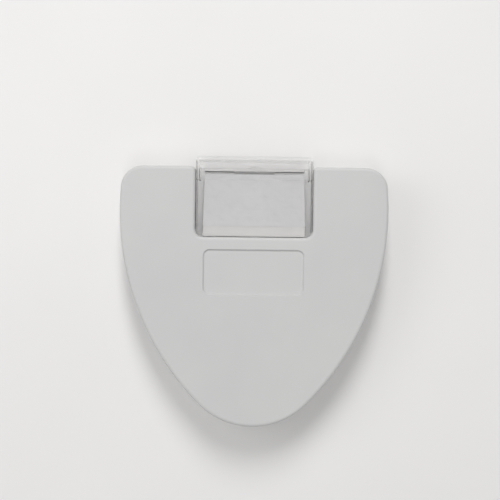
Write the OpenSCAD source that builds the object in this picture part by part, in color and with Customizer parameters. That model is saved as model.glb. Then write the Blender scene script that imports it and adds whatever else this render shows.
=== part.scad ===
// Hand-held chalk wheel: a flat two-part body with a slide-in powder cartridge.
// X is the width, +Y points at the flat edge with the wheel, Z is the thickness.
// The origin is the centre of the back face.

/* [Body] */
// Width across the widest line
body_w = 62; // [58:0.5:76]
// Length from the rounded tip to the flat edge
body_l = 60; // [56:0.5:72]
// Thickness of the two shells together
body_t = 12; // [12:0.5:16]
// Radius of the rounded tip
tip_r = 17.5; // [14:0.5:21]
// Distance of the widest line from the tip
widest_l = 50; // [44:0.5:52]
// Radius of the corners at the two ends of the flat edge
corner_r = 5.2; // [3:0.1:8]
// Rounding of the edges round each face
edge_r = 0.7; // [0.3:0.1:0.9]
// Thickness of the rim and of the notch's walls
wall = 1.8; // [1.6:0.1:2.4]
// Thickness of each face
skin = 1.6; // [1.2:0.1:2]
// Bevel along the line where the shells meet
seam_bevel = 0.15; // [0.05:0.05:0.3]

/* [Notch] */
// Width of the notch that holds the cartridge
notch_w = 27.2; // [25:0.1:31]
// Depth of the notch from the flat edge
notch_d = 16.3; // [15:0.1:20]
// Radius of the notch's two inner corners
notch_r = 1.8; // [1.5:0.1:1.8]
// Radius of the two corners at the notch's mouth
mouth_r = 1; // [0.95:0.05:2]

/* [Label field] */
// Width of the sunken field
label_w = 22.7; // [16:0.1:26]
// Height of the sunken field
label_h = 9.85; // [6:0.05:12]
// Distance of the field from the notch
label_gap = 3.15; // [2:0.05:5]
// Depth of the field
label_d = 0.4; // [0.2:0.05:0.6]
// Corner radius of the field
label_r = 1.2; // [0.5:0.1:3]
// Width of the sloped edge round the field
label_slope = 0.35; // [0.1:0.05:0.6]

/* [Inside the shells] */
// Thickness of the ribs
rib_t = 1; // [0.8:0.1:1.6]
// Gap from the ribs to the plane where the shells meet
rib_gap = 0.4; // [0.2:0.1:1]
// Distance between the ribs that run across
rib_pitch = 12; // [9:0.5:14]
// Distance between the two ribs that run along
long_rib_pitch = 18; // [12:0.5:22]
// Diameter of the bosses
boss_d = 4.6; // [4.2:0.1:5.4]
// Distance of the two outer bosses from the flat edge
boss_drop = 7.8; // [7:0.1:10]
// Distance of the two middle bosses from the rim
boss_inset = 6; // [4:0.5:8]
// Diameter of the pegs
peg_d = 2.4; // [2:0.1:2.8]
// Length of the pegs
peg_l = 2.2; // [1.5:0.1:3]
// Bevel at the end of each peg
peg_bevel = 0.3; // [0.1:0.05:0.5]
// Clearance round each peg
peg_fit = 0.05; // [0.03:0.01:0.1]
// Space left below each peg
peg_room = 0.3; // [0.2:0.1:0.8]

/* [Cartridge] */
// Gap on each side between the tank and the notch
tank_gap = 0.1; // [0.1:0.05:0.3]
// Gap between the tank's inner end and the bottom of the notch
tank_end_gap = 0.15; // [0.15:0.05:0.5]
// Depth of the tank's faces below the body's faces
tank_sink = 0.3; // [0.3:0.1:0.8]
// Radius of the two corners at the tank's inner end
tank_corner_r = 1.5; // [1.5:0.05:1.6]
// Rounding of the tank's long edges
tank_edge_r = 0.3; // [0.2:0.05:0.7]
// Height of the side rails
rail_h = 2; // [1.6:0.1:2.6]
// Reach of the side rails into their grooves
rail_grip = 0.7; // [0.5:0.05:0.8]
// Clearance round each rail
rail_fit = 0.15; // [0.1:0.05:0.2]

/* [Chalk tank] */
// Thickness of the side walls at the outer end
side_wall_out = 2.05; // [2:0.05:2.6]
// Thickness of the side walls at the inner end
side_wall_in = 1.65; // [1.65:0.05:2]
// Thickness of the front and back walls
face_wall = 1.75; // [1.65:0.05:2]
// Thickness of the end wall behind the wheel's plate
end_wall = 0.7; // [0.5:0.05:1]
// Length of the lid, which is a cup pushed into the tank's open end
lid_l = 2.4; // [1.8:0.1:3]
// Wall of the lid
lid_wall = 0.8; // [0.6:0.05:1]
// Clearance round the lid
lid_fit = 0.05; // [0.03:0.01:0.1]
// Gap between the powder and what holds it
powder_gap = 0.05; // [0.02:0.01:0.1]

/* [Wheel] */
// Diameter over the teeth
wheel_d = 7; // [6.4:0.1:7.2]
// Number of teeth
tooth_count = 28; // [20:1:36]
// Depth of the teeth
tooth_h = 0.45; // [0.3:0.05:0.7]
// Thickness of the wheel at the hub
hub_t = 0.9; // [0.8:0.05:1.1]
// Diameter of the hub
hub_d = 3; // [2.8:0.1:3.6]
// Thickness of the wheel outside the hub
disc_t = 0.7; // [0.5:0.05:0.75]
// Thickness of the wheel at the ends of its teeth
tooth_t = 0.3; // [0.2:0.05:0.4]
// Reach of the wheel beyond the flat edge
wheel_out = 0.5; // [0.3:0.1:1.3]
// Diameter of the axle
axle_d = 1.5; // [1.2:0.1:1.8]
// Clearance between the axle and the wheel
axle_fit = 0.05; // [0.03:0.01:0.1]
// Gap on each side of the hub
hub_gap = 0.1; // [0.05:0.05:0.2]
// Gap round the wheel in its slot
slot_gap = 0.3; // [0.2:0.05:0.5]

/* [Wheel carrier] */
// Depth of the plate below the flat edge
plate_drop = 0.4; // [0.3:0.05:0.8]
// Thickness of the plate
plate_t = 0.7; // [0.6:0.05:1]
// Wall of the tank round the plate
plate_wall = 1.1; // [1:0.05:1.2]
// Thickness of each cheek of the fork
cheek_t = 1.9; // [1.6:0.1:2.1]
// Thickness of the fork at the ends of the slot
fork_end = 0.8; // [0.6:0.1:1.2]
// Reach of the cheeks past the axle
cheek_reach = 1.25; // [1:0.05:1.6]
// Clearance round the plate and the fork
carrier_fit = 0.1; // [0.05:0.01:0.15]

/* [Cap] */
// Reach of the cap beyond the flat edge
cap_out = 2.3; // [2.3:0.1:4]
// Thickness of the cap's skirt
cap_wall = 0.7; // [0.5:0.05:0.75]
// Thickness of the cap's end
cap_end = 0.8; // [0.6:0.05:0.8]
// Distance of the skirt's edge below the flat edge
skirt_drop = 3.15; // [2.5:0.05:3.6]
// Clearance round the tank inside the skirt
cap_fit = 0.05; // [0.03:0.01:0.1]
// Rounding of the cap's two outer corners
cap_corner_r = 0.8; // [0.4:0.1:1.2]

/* [Hidden] */
$fn = 72;

half_w = body_w / 2;
half_l = body_l / 2;
half_t = body_t / 2;
nudge = 0.01;
// Facets across the rounding of the edges
edge_steps = 4;
// Depth by which the bevel runs on past the seam before it is cut there
run_on = 0.5;

// Centres and angles of the arcs on the right-hand half of the outline
tip_c = [0, tip_r - half_l];
side_r = (half_w^2 + (widest_l - tip_r)^2 - tip_r^2) / (2 * (half_w - tip_r));
side_c = [half_w - side_r, widest_l - half_l];
corner_rise = body_l - corner_r - widest_l;
corner_c = [side_c.x + sqrt((side_r - corner_r)^2 - corner_rise^2), half_l - corner_r];
tip_a = atan2(tip_c.y - side_c.y, tip_c.x - side_c.x);
corner_a = asin(corner_rise / (side_r - corner_r));
notch_x = notch_w / 2;
notch_y = half_l - notch_d;
notch_c = [notch_x - notch_r, notch_y + notch_r];

// Places along Y in the cartridge, from the lid outwards
tank_y = notch_y + tank_end_gap;
lid_y = tank_y + lid_l;
skirt_y = half_l - skirt_drop;
plate_y = half_l - plate_drop - plate_t;
plate_top_y = plate_y + plate_t;
powder_y = plate_y - end_wall;
cap_y = half_l + cap_out;
wheel_y = half_l + wheel_out - wheel_d / 2;
fork_y = wheel_y - axle_d / 2 - cheek_reach;

// Cross-sections of the cartridge
tank_w = notch_w - 2 * tank_gap;
tank_t = body_t - 2 * tank_sink;
neck_inset = cap_wall + cap_fit;
neck_w = tank_w - 2 * neck_inset;
neck_t = tank_t - 2 * neck_inset;
plate_w = neck_w - 2 * plate_wall - 2 * carrier_fit;
plate_h = neck_t - 2 * plate_wall - 2 * carrier_fit;
space_t = tank_t - 2 * face_wall;
slot_w = wheel_d + 2 * slot_gap;
slot_t = hub_t + 2 * hub_gap;
fork_w = slot_w + 2 * fork_end;
fork_t = slot_t + 2 * cheek_t;
rail_x = notch_x + rail_grip;
rail_y = tank_y + tank_corner_r;

// Points along an arc, anticlockwise or clockwise, from the first step asked for
function arc_points(c, r, a0, a1, steps, first = 0) =
    [for (i = [first:steps]) c + r * [cos(a0 + (a1 - a0) * i / steps), sin(a0 + (a1 - a0) * i / steps)]];

// Half the width of the body at a height between the tip's arc and the corner's arc
function half_width(y) = side_c.x + sqrt(side_r^2 - (y - side_c.y)^2);

// Places of the bosses that join the shells
cross_y = notch_y - wall / 2;
outer_boss_y = half_l - boss_drop;
outer_boss_x = (notch_x + half_width(outer_boss_y)) / 2;
middle_boss_y = cross_y - rib_pitch;
middle_boss_x = half_width(middle_boss_y) - wall - boss_inset;
boss_places = [
    [outer_boss_x, outer_boss_y], [-outer_boss_x, outer_boss_y],
    [middle_boss_x, middle_boss_y], [-middle_boss_x, middle_boss_y],
    tip_c
];

// Half the width of the powder space, which narrows towards the wheel
function space_half(y) =
    tank_w / 2 - side_wall_in - (side_wall_out - side_wall_in) * (y - tank_y) / (powder_y - tank_y);

// Right-hand half of the body's outline, moved inwards by a distance
function half_outline(inset) =
    let (
        r = max(mouth_r, inset + nudge),
        c = [notch_x + r, half_l - r]
    )
    concat(
        arc_points(tip_c, tip_r - inset, -90, tip_a, 12),
        arc_points(side_c, side_r - inset, tip_a, corner_a, 24, 1),
        arc_points(corner_c, corner_r - inset, corner_a, 90, 12, 1),
        arc_points(c, r - inset, 90, 180, 5),
        arc_points(notch_c, notch_r + inset, 0, -90, 6)
    );

// The whole outline, anticlockwise from the tip
function outline(inset) =
    let (right = half_outline(inset))
    concat(right, [for (i = [len(right) - 1:-1:1]) [-right[i].x, right[i].y]]);

// A solid through outlines with as many points each, given with their rising heights
module loft(outlines, heights) {
    n = len(outlines[0]);
    top = (len(outlines) - 1) * n;
    polyhedron(
        points = [for (k = [0:len(heights) - 1]) for (p = outlines[k]) [p.x, p.y, heights[k]]],
        faces = concat(
            [[for (i = [0:n - 1]) i]],
            [
                for (k = [0:n:top - n], i = [0:n - 1])
                    let (j = (i + 1) % n)
                    [k + i, k + n + i, k + n + j, k + j]
            ],
            [[for (i = [n - 1:-1:0]) top + i]]
        )
    );
}

// A quarter of a disc, with its round side towards the signs given
module quarter(c, r, sx, sy) {
    translate(c)
        intersection() {
            circle(r);
            mirror([sx < 0 ? 1 : 0, 0])
                mirror([0, sy < 0 ? 1 : 0])
                    square(r + 1);
        }
}

// A rectangle round the origin with four round corners
module rounded_rectangle(w, h, r) {
    square([w - 2 * r, h], center = true);
    for (s = [-1, 1]) {
        translate([s * (w - r) / 2, 0])
            square([r, h - 2 * r], center = true);
        for (t = [-1, 1])
            quarter([s * (w / 2 - r), t * (h / 2 - r)], r, s, t);
    }
}

// The hollow behind one face, which leaves the ribs and bosses standing
module hollow() {
    depth = half_t - skin;
    difference() {
        translate([0, 0, -1])
            linear_extrude(depth + 1)
                polygon(outline(wall));
        for (i = [0:2])
            translate([-body_w / 2, cross_y - i * rib_pitch - rib_t / 2, rib_gap])
                cube([body_w, rib_t, depth]);
        for (s = [-1, 1])
            translate([(s * long_rib_pitch - rib_t) / 2, -half_l, rib_gap])
                cube([rib_t, body_l, depth]);
        for (place = boss_places)
            translate(place)
                cylinder(d = boss_d, h = depth + 1);
    }
}

// Groove for one rail of the cartridge, with its middle at z = 0
module groove(side) {
    y = rail_y - rail_fit;
    translate([side * notch_x - rail_grip - rail_fit, y, -rail_h / 2 - rail_fit])
        cube([2 * (rail_grip + rail_fit), half_l + 1 - y, rail_h + 2 * rail_fit]);
}

// Half of the body as a block, whose bevel and rounding run on past the seam and the face
module shell_block() {
    rounding = [for (i = [0:edge_steps]) 90 * i / edge_steps];
    insets = [for (a = rounding) edge_r * (1 - cos(a))];
    heights = [for (a = rounding) half_t - edge_r * (1 - sin(a))];
    run_in = insets[edge_steps] - insets[edge_steps - 1];
    run_up = heights[edge_steps] - heights[edge_steps - 1];
    loft(
        [for (inset = concat([seam_bevel + run_on, 0], insets, [edge_r + run_in])) outline(inset)],
        concat([-run_on, seam_bevel], heights, [half_t + run_up])
    );
}

// One shell with its seam at z = 0 and its face at the top
module shell() {
    difference() {
        intersection() {
            shell_block();
            translate([-body_w, -body_l, 0])
                cube([2 * body_w, 2 * body_l, half_t]);
        }
        hollow();
        for (side = [-1, 1])
            groove(side);
    }
}

// Outline of the sunken field, moved outwards by a distance
function field_outline(grow) = [
    for (q = [0:3])
        each arc_points(
            [(q % 3 == 0 ? 1 : -1) * (label_w / 2 - label_r), (q < 2 ? 1 : -1) * (label_h / 2 - label_r)],
            label_r + grow, 90 * q, 90 * q + 90, 6
        )
];

// The sunken field with its sloped edge, below a face at z = 0
module label_field() {
    loft(
        [field_outline(0), field_outline(2 * label_slope)],
        [-label_d, label_d]
    );
}

module front_shell() {
    color("whitesmoke")
        translate([0, 0, half_t])
            difference() {
                union() {
                    shell();
                    for (place = boss_places)
                        translate(place) {
                            translate([0, 0, peg_bevel - peg_l])
                                cylinder(d = peg_d, h = peg_l);
                            translate([0, 0, -peg_l])
                                cylinder(d1 = peg_d - 2 * peg_bevel, d2 = peg_d, h = peg_bevel);
                        }
                }
                translate([0, notch_y - label_gap - label_h / 2, half_t])
                    label_field();
            }
}

module back_shell() {
    color("whitesmoke")
        translate([0, 0, half_t])
            rotate([0, 180, 0])
                difference() {
                    shell();
                    for (place = boss_places)
                        translate([place.x, place.y, -1])
                            cylinder(d = peg_d + 2 * peg_fit, h = peg_l + peg_room + 1);
                }
}

// A block of the cartridge along Y with rounded long edges, at the body's mid-plane
module bar(w, t, r, y0, y1) {
    translate([0, y1, half_t])
        rotate([90, 0, 0])
            linear_extrude(y1 - y0)
                rounded_rectangle(w, t, r);
}

// The tank's inner end in plan, with its two round corners
module end_plan() {
    straight_y = tank_y + tank_corner_r;
    translate([-tank_w / 2, straight_y])
        square([tank_w, half_l - straight_y]);
    translate([tank_corner_r - tank_w / 2, tank_y])
        square([tank_w - 2 * tank_corner_r, tank_corner_r]);
    for (s = [-1, 1])
        quarter([s * (tank_w / 2 - tank_corner_r), straight_y], tank_corner_r, s, -1);
}

// The inside of the tank between two places, less a gap all round
module powder_space(y0, y1, gap) {
    translate([0, 0, half_t - space_t / 2 + gap])
        linear_extrude(space_t - 2 * gap)
            polygon([
                [-space_half(y0) + gap, y0], [space_half(y0) - gap, y0],
                [space_half(y1) - gap, y1], [-space_half(y1) + gap, y1]
            ]);
}

module block(w, t, y0, y1) {
    translate([-w / 2, y0, half_t - t / 2])
        cube([w, y1 - y0, t]);
}

module tank() {
    color([0.85, 0.93, 0.96, 0.35])
        difference() {
            union() {
                intersection() {
                    bar(tank_w, tank_t, tank_edge_r, tank_y, skirt_y);
                    linear_extrude(body_t)
                        end_plan();
                }
                bar(neck_w, neck_t, tank_edge_r, skirt_y - nudge, plate_top_y);
                block(2 * rail_x, rail_h, rail_y, skirt_y - neck_inset);
            }
            powder_space(tank_y - 1, powder_y, 0);
            block(plate_w + 2 * carrier_fit, plate_h + 2 * carrier_fit, plate_y, half_l + 1);
            block(fork_w + 2 * carrier_fit, fork_t + 2 * carrier_fit, powder_y - 1, half_l);
        }
}

module tank_lid() {
    color("white")
        difference() {
            powder_space(tank_y, lid_y, lid_fit);
            powder_space(tank_y - 1, lid_y - lid_wall, lid_fit + lid_wall);
        }
}

module wheel_carrier() {
    color("white")
        difference() {
            union() {
                block(plate_w, plate_h, plate_y, plate_top_y);
                block(fork_w, fork_t, fork_y, plate_y + nudge);
            }
            block(slot_w, slot_t, fork_y - 1, plate_top_y + 1);
            translate([0, wheel_y, 0])
                cylinder(d = axle_d + 2 * nudge, h = body_t);
        }
}

module wheel_axle() {
    color("silver")
        translate([0, wheel_y, half_t])
            cylinder(d = axle_d, h = fork_t, center = true);
}

// Toothed outline of the wheel in plan
module tooth_outline() {
    step = 360 / tooth_count;
    polygon([
        for (i = [0:tooth_count - 1])
            each [
                wheel_d / 2 * [cos(i * step), sin(i * step)],
                (wheel_d / 2 - tooth_h) * [cos((i + 0.5) * step), sin((i + 0.5) * step)]
            ]
    ]);
}

module marking_wheel() {
    root_r = wheel_d / 2 - 2 * tooth_h;
    tip = wheel_d / 2 + nudge;
    color("silver")
        translate([0, wheel_y, half_t])
            difference() {
                intersection() {
                    rotate_extrude()
                        polygon([
                            [0, -hub_t / 2], [hub_d / 2, -hub_t / 2], [hub_d / 2, -disc_t / 2],
                            [root_r, -disc_t / 2], [tip, -tooth_t / 2], [tip, tooth_t / 2],
                            [root_r, disc_t / 2], [hub_d / 2, disc_t / 2], [hub_d / 2, hub_t / 2],
                            [0, hub_t / 2]
                        ]);
                    linear_extrude(body_t, center = true)
                        tooth_outline();
                }
                cylinder(d = axle_d + 2 * axle_fit, h = body_t, center = true);
            }
}

module chalk_powder() {
    pocket_gap = wheel_y - wheel_d / 2 - slot_gap;
    color("white")
        difference() {
            powder_space(lid_y + powder_gap, powder_y - powder_gap, powder_gap);
            block(fork_w + 2 * carrier_fit, fork_t + 2 * carrier_fit, pocket_gap, half_l);
        }
}

module wheel_cap() {
    corner = tank_w / 2 - cap_corner_r;
    color([0.85, 0.93, 0.96, 0.35])
        difference() {
            intersection() {
                bar(tank_w, tank_t, tank_edge_r, skirt_y + cap_fit, cap_y);
                linear_extrude(body_t)
                    union() {
                        translate([-tank_w / 2, 0])
                            square([tank_w, cap_y - cap_corner_r]);
                        translate([-corner, 0])
                            square([2 * corner, cap_y]);
                        for (s = [-1, 1])
                            quarter([s * corner, cap_y - cap_corner_r], cap_corner_r, s, 1);
                    }
            }
            bar(neck_w + 2 * cap_fit, neck_t + 2 * cap_fit, tank_edge_r, skirt_y, cap_y - cap_end);
        }
}

front_shell();
back_shell();
tank();
tank_lid();
wheel_carrier();
marking_wheel();
wheel_axle();
chalk_powder();
wheel_cap();
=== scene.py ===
"""Looks of the chalk wheel marker: mould-grained white shells round a clear cartridge of powder.

Metres, +X across the width, +Y towards the flat edge with the wheel, +Z up from the back face.
"""

import math

import bmesh
import bpy
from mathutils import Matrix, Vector, noise

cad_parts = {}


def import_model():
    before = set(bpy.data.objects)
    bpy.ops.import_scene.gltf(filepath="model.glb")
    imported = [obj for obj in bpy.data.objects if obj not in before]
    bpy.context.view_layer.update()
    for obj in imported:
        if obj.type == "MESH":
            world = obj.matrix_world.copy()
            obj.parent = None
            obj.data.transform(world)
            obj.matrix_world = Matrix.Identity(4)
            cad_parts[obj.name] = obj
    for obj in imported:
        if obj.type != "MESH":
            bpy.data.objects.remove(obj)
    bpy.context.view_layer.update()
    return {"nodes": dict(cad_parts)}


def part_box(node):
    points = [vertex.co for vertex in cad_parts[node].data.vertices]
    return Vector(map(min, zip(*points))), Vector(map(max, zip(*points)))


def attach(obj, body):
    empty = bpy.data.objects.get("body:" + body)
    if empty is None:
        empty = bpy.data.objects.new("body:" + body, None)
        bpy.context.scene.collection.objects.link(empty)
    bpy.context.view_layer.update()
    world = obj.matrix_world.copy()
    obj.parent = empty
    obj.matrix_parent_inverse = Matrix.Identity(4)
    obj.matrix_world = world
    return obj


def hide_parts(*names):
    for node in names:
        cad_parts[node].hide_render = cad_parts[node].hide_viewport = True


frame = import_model()
nodes = frame["nodes"]
MM = 0.001

# Places taken from the frame
wheel_low, wheel_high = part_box("marking_wheel")
WHEEL_CENTRE = (wheel_low + wheel_high) / 2
FRONT_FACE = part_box("front_shell")[1].z

# Camera: the photograph looks straight down, a little turned
IMAGE_PX = 500
PX_PER_MM = 4.347
ORIGIN_PX = (253.07, 296.85)
CAMERA_HEIGHT = 0.324
TURN_DEG = 0.70
SENSOR_WIDTH = 36
NEAR_LIMIT = 0.01

# Room: brightness as a light and as a backdrop, and how far out the floor fades into it
ROOM_LIGHT = 0.40
BACKDROP = 0.80
FADE_START = 0.12
FADE_END = 0.55

# Floor, which lies just below the back face and sweeps up at the far side
FLOOR_DROP = 0.02 * MM
FLOOR_HALF = 1.2
SWEEP_START = 0.72
SWEEP_R = 0.5
SWEEP_STEPS = 16
FLOOR_TOP = 1.4

# Powder's mesh and its press against the tank's walls
GRID_LEVEL = 6
GRID_SCALE = 0.99
POWDER_PRESS = 0.07 * MM

# Hollows in the powder's faces, which keep off its edges and are deepest at the wheel's end
HOLLOW_DEPTH = 0.20 * MM
HOLLOW_GAIN = 2.2
HOLLOW_START = 0.1
EDGE_MARGIN = 0.9 * MM
EDGE_KEPT = 0.4
SETTLED = 3.5 * MM
SETTLED_SHARE = 0.25

# Lumps and grains that shape the hollows
LUMP_SIZE = (3.2 * MM, 1.3 * MM, 2.0 * MM)
LUMP_FALL = 1.0
LUMP_RATIO = 2.0
LUMP_LAYERS = 3
GRAIN_SIZE = 0.7 * MM
GRAIN_SHARE = 0.4

# Edges
FINE_EDGE = 0.06 * MM
CLEAR_EDGE = 0.10 * MM
METAL_EDGE = 0.03 * MM
EDGE_SEGMENTS = 2
SHARP_DEG = 32
FLAT_WEIGHT = 80

# Radians that the rings of Blender's wave texture turn through in one unit at a scale of 1
WAVE_TURN = 20


def srgb(red, green, blue):
    """A colour given as it shows on screen, 0 to 255, in linear values."""
    return tuple(
        c / 255 / 12.92 if c / 255 <= 0.04045 else ((c / 255 + 0.055) / 1.055) ** 2.4
        for c in (red, green, blue)
    ) + (1.0,)


def grey(level):
    """A neutral colour given in linear values."""
    return (level, level, level, 1.0)


def combine(tree, operation, first, second):
    """What a Math node makes of two outputs."""
    n = tree.nodes.new("ShaderNodeMath")
    n.operation = operation
    tree.links.new(first, n.inputs[0])
    tree.links.new(second, n.inputs[1])
    return n.outputs[0]


def remapped(tree, source, low, high, from_low=0.0, from_high=1.0):
    """An output brought from one range to another and kept inside it."""
    n = tree.nodes.new("ShaderNodeMapRange")
    n.inputs["From Min"].default_value = from_low
    n.inputs["From Max"].default_value = from_high
    n.inputs["To Min"].default_value = low
    n.inputs["To Max"].default_value = high
    tree.links.new(source, n.inputs["Value"])
    return n.outputs["Result"]


def seen_rays(tree):
    """One for what the camera sees, also in a mirror or through glass, and zero for the rest."""
    path = tree.nodes.new("ShaderNodeLightPath")
    seen = path.outputs["Is Camera Ray"]
    for ray in ("Is Glossy Ray", "Is Transmission Ray"):
        seen = combine(tree, "MAXIMUM", seen, path.outputs[ray])
    return seen


class Look:
    """A material under construction: one Principled shader and the nodes that drive it."""

    def __init__(self, name):
        self.material = bpy.data.materials.new(name)
        self.material.use_nodes = True
        self.tree = self.material.node_tree
        self.tree.nodes.clear()
        self.out = self.tree.nodes.new("ShaderNodeOutputMaterial")
        self.bsdf = self.tree.nodes.new("ShaderNodeBsdfPrincipled")
        self.link(self.bsdf.outputs["BSDF"], self.out.inputs["Surface"])
        self.place = self.tree.nodes.new("ShaderNodeTexCoord").outputs["Object"]

    def link(self, source, target):
        self.tree.links.new(source, target)

    def set(self, **values):
        for key, value in values.items():
            self.bsdf.inputs[key.replace("_", " ")].default_value = value

    def drive(self, **sockets):
        for key, source in sockets.items():
            self.link(source, self.bsdf.inputs[key.replace("_", " ")])

    def shifted(self, centre):
        """Object coordinates measured from a centre."""
        move = self.tree.nodes.new("ShaderNodeMapping")
        move.inputs["Location"].default_value = -centre
        self.link(self.place, move.inputs["Vector"])
        return move.outputs["Vector"]

    def distance(self):
        """Distance from the object's origin."""
        n = self.tree.nodes.new("ShaderNodeVectorMath")
        n.operation = "LENGTH"
        self.link(self.place, n.inputs[0])
        return n.outputs["Value"]

    def noise(self, size, detail=2.0, rough=0.5, distortion=0.0):
        """Noise whose features are about the given size in metres."""
        n = self.tree.nodes.new("ShaderNodeTexNoise")
        n.inputs["Scale"].default_value = 1 / size
        n.inputs["Detail"].default_value = detail
        n.inputs["Roughness"].default_value = rough
        n.inputs["Distortion"].default_value = distortion
        self.link(self.place, n.inputs["Vector"])
        return n.outputs["Fac"]

    def cells(self, size):
        """Distance to the nearest of scattered points, for pits and grains."""
        n = self.tree.nodes.new("ShaderNodeTexVoronoi")
        n.inputs["Scale"].default_value = 1 / size
        self.link(self.place, n.inputs["Vector"])
        return n.outputs["Distance"]

    def rings(self, pitch, place):
        """Slightly uneven rings round the Z axis of the given coordinates, a pitch apart."""
        n = self.tree.nodes.new("ShaderNodeTexWave")
        n.wave_type = "RINGS"
        n.rings_direction = "Z"
        n.inputs["Scale"].default_value = 2 * math.pi / (WAVE_TURN * pitch)
        n.inputs["Distortion"].default_value = 1.5
        n.inputs["Detail"].default_value = 2.0
        n.inputs["Detail Scale"].default_value = 3.0
        self.link(place, n.inputs["Vector"])
        return n.outputs["Fac"]

    def remap(self, source, low, high, from_low=0.3, from_high=0.7):
        """Another range for an output, which in a noise mostly lies between 0.3 and 0.7."""
        return remapped(self.tree, source, low, high, from_low, from_high)

    def mix(self, factor, first, second):
        """A colour between two, each a colour or an output."""
        n = self.tree.nodes.new("ShaderNodeMix")
        n.data_type = "RGBA"
        self.link(factor, n.inputs[0])
        for socket, value in ((n.inputs[6], first), (n.inputs[7], second)):
            if isinstance(value, bpy.types.NodeSocket):
                self.link(value, socket)
            else:
                socket.default_value = value
        return n.outputs[2]

    def bump(self, height, depth, strength, over=None):
        """A bump of the given depth in metres, laid over another if there is one."""
        n = self.tree.nodes.new("ShaderNodeBump")
        n.inputs["Strength"].default_value = strength
        n.inputs["Distance"].default_value = depth
        self.link(height, n.inputs["Height"])
        if over is not None:
            self.link(over, n.inputs["Normal"])
        return n.outputs["Normal"]

    def give_way(self, share, other):
        """Lets another shader take the Principled one's place by a share."""
        both = self.tree.nodes.new("ShaderNodeMixShader")
        self.link(share, both.inputs[0])
        self.link(self.bsdf.outputs["BSDF"], both.inputs[1])
        self.link(other, both.inputs[2])
        self.link(both.outputs["Shader"], self.out.inputs["Surface"])


def shell_look():
    """White ABS with the fine matt grain of a spark-eroded mould."""
    look = Look("white_shell")
    broad = look.noise(22 * MM, detail=3)
    grain = look.noise(0.16 * MM, detail=3, rough=0.6)
    pits = look.cells(0.5 * MM)
    waves = look.noise(6 * MM, detail=1)
    uneven = look.bump(waves, depth=0.02 * MM, strength=0.4)
    pitted = look.bump(pits, depth=0.006 * MM, strength=0.3, over=uneven)
    look.drive(
        Base_Color=look.mix(look.remap(broad, 0, 1), srgb(201, 201, 201), srgb(206, 206, 205)),
        Roughness=look.remap(grain, 0.42, 0.56),
        Normal=look.bump(grain, depth=0.010 * MM, strength=0.5, over=pitted),
    )
    look.set(Specular_IOR_Level=0.45)
    return look.material


def insert_look():
    """Creamier, waxy acetal of the lid and the wheel's carrier."""
    look = Look("white_insert")
    broad = look.noise(3 * MM, detail=2)
    grain = look.noise(0.12 * MM, detail=2)
    look.drive(
        Base_Color=look.mix(look.remap(broad, 0, 1), srgb(200, 198, 197), srgb(205, 203, 201)),
        Roughness=look.remap(grain, 0.36, 0.50),
        Normal=look.bump(grain, depth=0.008 * MM, strength=0.5),
    )
    return look.material


def clear_look():
    """Polished clear polystyrene, with the slight waviness of a moulding.

    Light on its way to or from a matt surface passes straight through, so that the powder and
    the floor behind the plastic are lit once.
    """
    look = Look("clear_plastic")
    waves = look.noise(2.4 * MM, detail=1, distortion=0.4)
    haze = look.noise(0.9 * MM, detail=3)
    look.drive(
        Roughness=look.remap(haze, 0.015, 0.05),
        Normal=look.bump(waves, depth=0.007 * MM, strength=0.6),
    )
    look.set(Base_Color=grey(0.985), Transmission_Weight=1.0, IOR=1.58)
    clear = look.tree.nodes.new("ShaderNodeBsdfTransparent")
    clear.inputs["Color"].default_value = grey(0.97)
    path = look.tree.nodes.new("ShaderNodeLightPath").outputs
    straight = combine(look.tree, "MAXIMUM", path["Is Shadow Ray"], path["Is Diffuse Ray"])
    look.give_way(straight, clear.outputs["BSDF"])
    return look.material


def chalk_look():
    """Loose white tailor's chalk: matt, faintly lavender, packed in soft lumps, with painted shade in
    the hollows between them.
    """
    look = Look("chalk")
    lumps = look.noise(1.6 * MM, detail=4, rough=0.6)
    broad = look.noise(7 * MM, detail=2)
    grain = look.noise(0.09 * MM, detail=3, rough=0.7)
    tint = look.mix(look.remap(broad, 0, 1), srgb(208, 207, 208), srgb(214, 213, 213))
    packed = look.bump(lumps, depth=0.12 * MM, strength=0.6)
    look.drive(
        # Painted shade: the colour darkens towards the grey where the lump noise is lowest, in the
        # hollows of the lumps' bump.
        Base_Color=look.mix(look.remap(lumps, 0.0, 0.5, 0.25, 0.5), srgb(202, 201, 202), tint),
        Roughness=look.remap(grain, 0.92, 1.0),
        Normal=look.bump(grain, depth=0.03 * MM, strength=0.7, over=packed),
    )
    look.set(Specular_IOR_Level=0.2)
    return look.material


def steel_look():
    """Nickel-plated steel with the fine rings left by turning, under a film of chalk dust."""
    look = Look("plated_steel")
    turned = look.rings(0.565 * MM, look.shifted(WHEEL_CENTRE))
    cloud = look.noise(0.8 * MM, detail=3)
    dust = look.noise(0.5 * MM, detail=4, rough=0.65)
    steel = look.mix(look.remap(cloud, 0, 1), srgb(176, 174, 170), srgb(190, 188, 184))
    film = look.remap(dust, 0.35, 0.9, 0.42, 0.62)
    powdery = look.bump(dust, depth=0.02 * MM, strength=0.6)
    look.drive(
        Base_Color=look.mix(film, steel, srgb(200, 199, 200)),
        Metallic=look.remap(film, 1.0, 0.1, 0.0, 1.0),
        Roughness=look.remap(film, 0.5, 0.95, 0.0, 1.0),
        Normal=look.bump(turned, depth=0.003 * MM, strength=0.5, over=powdery),
    )
    return look.material


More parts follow.
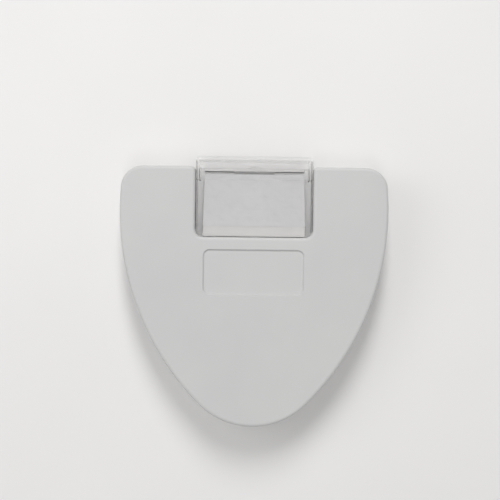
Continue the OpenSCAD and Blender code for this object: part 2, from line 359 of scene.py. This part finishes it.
def floor_look():
    """Pale matt board with a faint tooth, which fades into the backdrop away from the object."""
    look = Look("floor")
    cloud = look.noise(60 * MM, detail=3)
    tooth = look.noise(0.4 * MM, detail=2)
    look.drive(
        Base_Color=look.mix(look.remap(cloud, 0, 1), srgb(240, 239, 238), srgb(243, 242, 241)),
        Roughness=look.remap(tooth, 0.75, 0.85),
        Normal=look.bump(tooth, depth=0.02 * MM, strength=0.2),
    )
    look.set(Specular_IOR_Level=0.2)
    far = look.remap(look.distance(), 0, 1, FADE_START, FADE_END)
    share = combine(look.tree, "MULTIPLY", far, seen_rays(look.tree))
    haze = look.tree.nodes.new("ShaderNodeEmission")
    haze.inputs["Color"].default_value = grey(1)
    haze.inputs["Strength"].default_value = BACKDROP
    look.give_way(share, haze.outputs["Emission"])
    return look.material


def paint(piece, material):
    piece.data.materials.clear()
    piece.data.materials.append(material)


def soften(piece, width):
    """Fine rounded edges, or crisp ones where the width is 0, with even light on flat faces."""
    piece.data.shade_smooth()
    if width:
        bevel = piece.modifiers.new("fine_edges", "BEVEL")
        bevel.width = width
        bevel.segments = EDGE_SEGMENTS
        bevel.limit_method = "ANGLE"
        bevel.angle_limit = math.radians(SHARP_DEG)
    else:
        edges = piece.modifiers.new("crisp_edges", "EDGE_SPLIT")
        edges.split_angle = math.radians(SHARP_DEG)
        edges.use_edge_sharp = False
    flat = piece.modifiers.new("even_faces", "WEIGHTED_NORMAL")
    flat.mode = "FACE_AREA_WITH_ANGLE"
    flat.weight = FLAT_WEIGHT
    flat.keep_sharp = True


def sharp_grid(piece):
    """The piece's mesh as an even grid that keeps its sharp edges."""
    grid = piece.modifiers.new("grid", "REMESH")
    grid.mode = "SHARP"
    grid.octree_depth = GRID_LEVEL
    grid.scale = GRID_SCALE
    graph = bpy.context.evaluated_depsgraph_get()
    mesh = bpy.data.meshes.new_from_object(piece.evaluated_get(graph))
    piece.modifiers.clear()
    return mesh


def hollowness(point, low, high):
    """How far the powder has come away at a point on its box, from 0 to 1."""
    # The nearest wall is the one the point lies on, so the next one gives the way to an edge
    to_walls = sorted(min(c - start, end - c) for c, start, end in zip(point, low, high))
    off_edge = min(1.0, max(0.0, to_walls[1] / EDGE_MARGIN - EDGE_KEPT))
    near_wheel = max(SETTLED_SHARE, 1.0 - max(0.0, high.y - point.y) / SETTLED)
    stretched = Vector(c / size for c, size in zip(point, LUMP_SIZE))
    lump = noise.fractal(stretched, LUMP_FALL, LUMP_RATIO, LUMP_LAYERS)
    lump += GRAIN_SHARE * noise.noise(point / GRAIN_SIZE)
    return min(1.0, max(0.0, HOLLOW_GAIN * lump - HOLLOW_START)) * near_wheel * off_edge


def powder_fill():
    """The powder pressed against the tank's walls, with shallow hollows where it has come away."""
    fill = bpy.data.objects.new("powder_fill", nodes["chalk_powder"].data.copy())
    bpy.context.scene.collection.objects.link(fill)
    fill.data = sharp_grid(fill)
    fill.data.name = "powder_fill"

    form = bmesh.new()
    form.from_mesh(fill.data)
    form.normal_update()
    low = Vector(min(v.co[i] for v in form.verts) for i in range(3))
    high = Vector(max(v.co[i] for v in form.verts) for i in range(3))
    middle = (low + high) / 2
    for v in form.verts:
        outwards = Vector((c - m) / (end - m) for c, m, end in zip(v.co, middle, high))
        dent = HOLLOW_DEPTH * hollowness(v.co, low, high)
        v.co += POWDER_PRESS * outwards - dent * v.normal
    form.to_mesh(fill.data)
    form.free()
    return fill


def floor():
    """A wide sheet that sweeps up behind the object."""
    rows = [(-FLOOR_HALF, 0.0), (SWEEP_START, 0.0)]
    for i in range(1, SWEEP_STEPS + 1):
        a = math.pi / 2 * i / SWEEP_STEPS
        rows.append((SWEEP_START + SWEEP_R * math.sin(a), SWEEP_R * (1 - math.cos(a))))
    rows.append((SWEEP_START + SWEEP_R, FLOOR_TOP))
    form = bmesh.new()
    before = None
    for y, z in rows:
        pair = [form.verts.new((x, y, z)) for x in (-FLOOR_HALF, FLOOR_HALF)]
        if before:
            form.faces.new((before[0], before[1], pair[1], pair[0]))
        before = pair
    mesh = bpy.data.meshes.new("floor")
    form.to_mesh(mesh)
    form.free()
    mesh.shade_smooth()
    sheet = bpy.data.objects.new("floor", mesh)
    sheet.location.z = -FLOOR_DROP
    bpy.context.scene.collection.objects.link(sheet)
    paint(sheet, floor_look())


def lamp(name, place, width, length, watts):
    """A soft oval lamp aimed at the origin, given with its level width and its other length."""
    data = bpy.data.lights.new(name, "AREA")
    data.shape = "ELLIPSE"
    data.size = width
    data.size_y = length
    data.energy = watts
    thing = bpy.data.objects.new(name, data)
    bpy.context.scene.collection.objects.link(thing)
    thing.location = place
    thing.rotation_mode = "QUATERNION"
    thing.rotation_quaternion = (-Vector(place)).to_track_quat("-Z", "Y")


def world():
    """Even light from all round, whose brightness where it is seen or mirrored is the backdrop's."""
    room = bpy.data.worlds.new("room")
    room.use_nodes = True
    tree = room.node_tree
    back = tree.nodes["Background"]
    back.inputs["Color"].default_value = grey(1)
    strength = remapped(tree, seen_rays(tree), ROOM_LIGHT, BACKDROP)
    tree.links.new(strength, back.inputs["Strength"])
    bpy.context.scene.world = room


def camera():
    """A camera above the place of the image's centre, at the photograph's scale on the front face."""
    data = bpy.data.cameras.new("camera")
    eye = bpy.data.objects.new("camera", data)
    bpy.context.scene.collection.objects.link(eye)
    across = (IMAGE_PX / 2 - ORIGIN_PX[0]) / PX_PER_MM * MM
    up = (ORIGIN_PX[1] - IMAGE_PX / 2) / PX_PER_MM * MM
    turn = math.radians(TURN_DEG)
    eye.location = (
        across * math.cos(turn) - up * math.sin(turn),
        across * math.sin(turn) + up * math.cos(turn),
        CAMERA_HEIGHT,
    )
    eye.rotation_euler = (0, 0, turn)
    focal_px = PX_PER_MM * (CAMERA_HEIGHT - FRONT_FACE) / MM
    data.sensor_width = SENSOR_WIDTH
    data.lens = SENSOR_WIDTH * focal_px / IMAGE_PX
    data.clip_start = NEAR_LIMIT
    bpy.context.scene.camera = eye


def dress():
    """Gives every piece its finish."""
    finishes = [
        (("front_shell", "back_shell"), shell_look(), 0),
        (("tank", "wheel_cap"), clear_look(), CLEAR_EDGE),
        (("tank_lid", "wheel_carrier"), insert_look(), FINE_EDGE),
        (("marking_wheel", "wheel_axle"), steel_look(), METAL_EDGE),
    ]
    for names, material, edge in finishes:
        for name in names:
            paint(nodes[name], material)
            soften(nodes[name], edge)
    fill = powder_fill()
    paint(fill, chalk_look())
    soften(fill, 0)
    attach(fill, "cartridge")
    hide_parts("chalk_powder")


bpy.context.scene.view_settings.view_transform = "Standard"
camera()
dress()
floor()
world()
# The key and the fill stand over the middle, so that the clear strips beside the powder stay bright
lamp("key", place=(0.0, 0.42, 0.48), width=0.12, length=0.34, watts=1.81)
lamp("fill", place=(0.0, -0.27, 0.92), width=0.16, length=0.36, watts=0.93)
lamp("side", place=(-0.30, 0.10, 0.34), width=0.3, length=0.3, watts=0.30)
